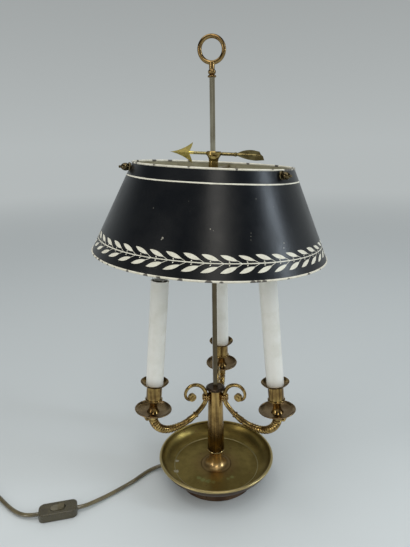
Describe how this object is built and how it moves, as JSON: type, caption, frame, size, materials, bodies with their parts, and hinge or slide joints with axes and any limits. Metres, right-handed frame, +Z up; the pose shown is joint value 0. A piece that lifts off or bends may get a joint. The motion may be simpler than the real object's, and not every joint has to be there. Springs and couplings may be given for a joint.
{
  "type": "table lamp",
  "caption": "Bouillotte table lamp: dished foot, candle arms, and a painted metal shade that slides on a square rod, clamped by an arrow screw, with a flex, an in-line rocker switch and a plug.",
  "frame": {"origin": "on the table, at the middle of the foot", "axes": "+Z up along the rod, -Y towards the front, +X to the right seen from the front"},
  "size_m": [0.5889, 0.3738, 0.6482],
  "materials": {
    "aged_brass": "aged, satin to polished",
    "dark_brass": "dark patina, satin",
    "bright_brass": "polished",
    "rod_brass": "worn, satin",
    "plain_brass": "plain",
    "iron": "rough",
    "steel": "plain",
    "felt": "felt",
    "black_paint": "satin black",
    "cream_paint": "worn cream",
    "sleeve_card": "smooth off-white",
    "holder_plastic": "gloss",
    "bulb_glass": "clear",
    "cap_metal": "plain",
    "wire_cover": "satin",
    "dark_plastic": "satin",
    "terminal_plastic": "satin",
    "switch_plastic": "worn gloss",
    "cord_cover": "satin",
    "plug_plastic": "gloss"
  },
  "bodies": {
    "lamp": {"arm_back": "aged_brass", "arm_block": "plain_brass", "arm_left": "aged_brass", "arm_right": "aged_brass", "arm_set_screws": "steel", "arm_wires": "wire_cover", "base_dish": "aged_brass", "base_nut": "plain_brass", "base_washer": "steel", "base_weight": "iron", "binding_bands": "aged_brass", "bulb_caps": "cap_metal", "bulb_glasses": "bulb_glass", "candle_cup_back": "aged_brass", "candle_cup_left": "aged_brass", "candle_cup_right": "aged_brass", "candle_sleeve_back": "sleeve_card", "candle_sleeve_left": "sleeve_card", "candle_sleeve_right": "sleeve_card", "candle_stems": "steel", "column_boss": "aged_brass", "column_cap": "dark_brass", "column_ferrule": "aged_brass", "column_tube": "dark_brass", "cord_base_run": "cord_cover", "cord_coil": "cord_cover", "cord_gland": "dark_plastic", "cord_plug_run": "cord_cover", "cord_switch_run": "cord_cover", "cup_lock_nuts": "steel", "drip_pan_back": "dark_brass", "drip_pan_left": "dark_brass", "drip_pan_right": "dark_brass", "felt_pad": "felt", "foot_ring": "dark_brass", "lamp_holders": "holder_plastic", "lead_tail": "cord_cover", "lead_wires": "wire_cover", "plug_body": "plug_plastic", "plug_pins": "plain_brass", "ring_finial": "aged_brass", "square_rod": "rod_brass", "switch_base": "switch_plastic", "switch_contacts": "plain_brass", "switch_cover": "switch_plastic", "switch_lead_ends": "cord_cover", "switch_rocker_pin": "steel", "switch_screws": "steel", "terminal_block": "terminal_plastic", "tie_tube": "plain_brass"},
    "carriage": {"shade_hub": "aged_brass", "shade_spider": "aged_brass", "shade_shell": "black_paint", "shade_rim_top": "cream_paint", "shade_rim_bottom": "cream_paint", "shade_nuts": "dark_brass", "arrow_head": "bright_brass"},
    "arrow_screw": {"arrow_tail": "bright_brass"},
    "rocker": {"switch_rocker": "switch_plastic"}
  },
  "joints": [
    {"name": "shade_slide", "type": "slide", "parent": "lamp", "child": "carriage", "axis": [0, 0, 1], "range_m": [-0.06, 0.088]},
    {"name": "arrow_turn", "type": "hinge", "parent": "carriage", "child": "arrow_screw", "pos_m": [0.0014, 0, 0.50306], "axis": [0.9984, 0, -0.0572], "range_deg": [0, 360]},
    {"name": "switch_rocker", "type": "hinge", "parent": "lamp", "child": "rocker", "pos_m": [-0.2298, -0.085, 0.0098], "axis": [-0.2419, 0.9703, 0], "range_deg": [0, 14]}
  ]
}
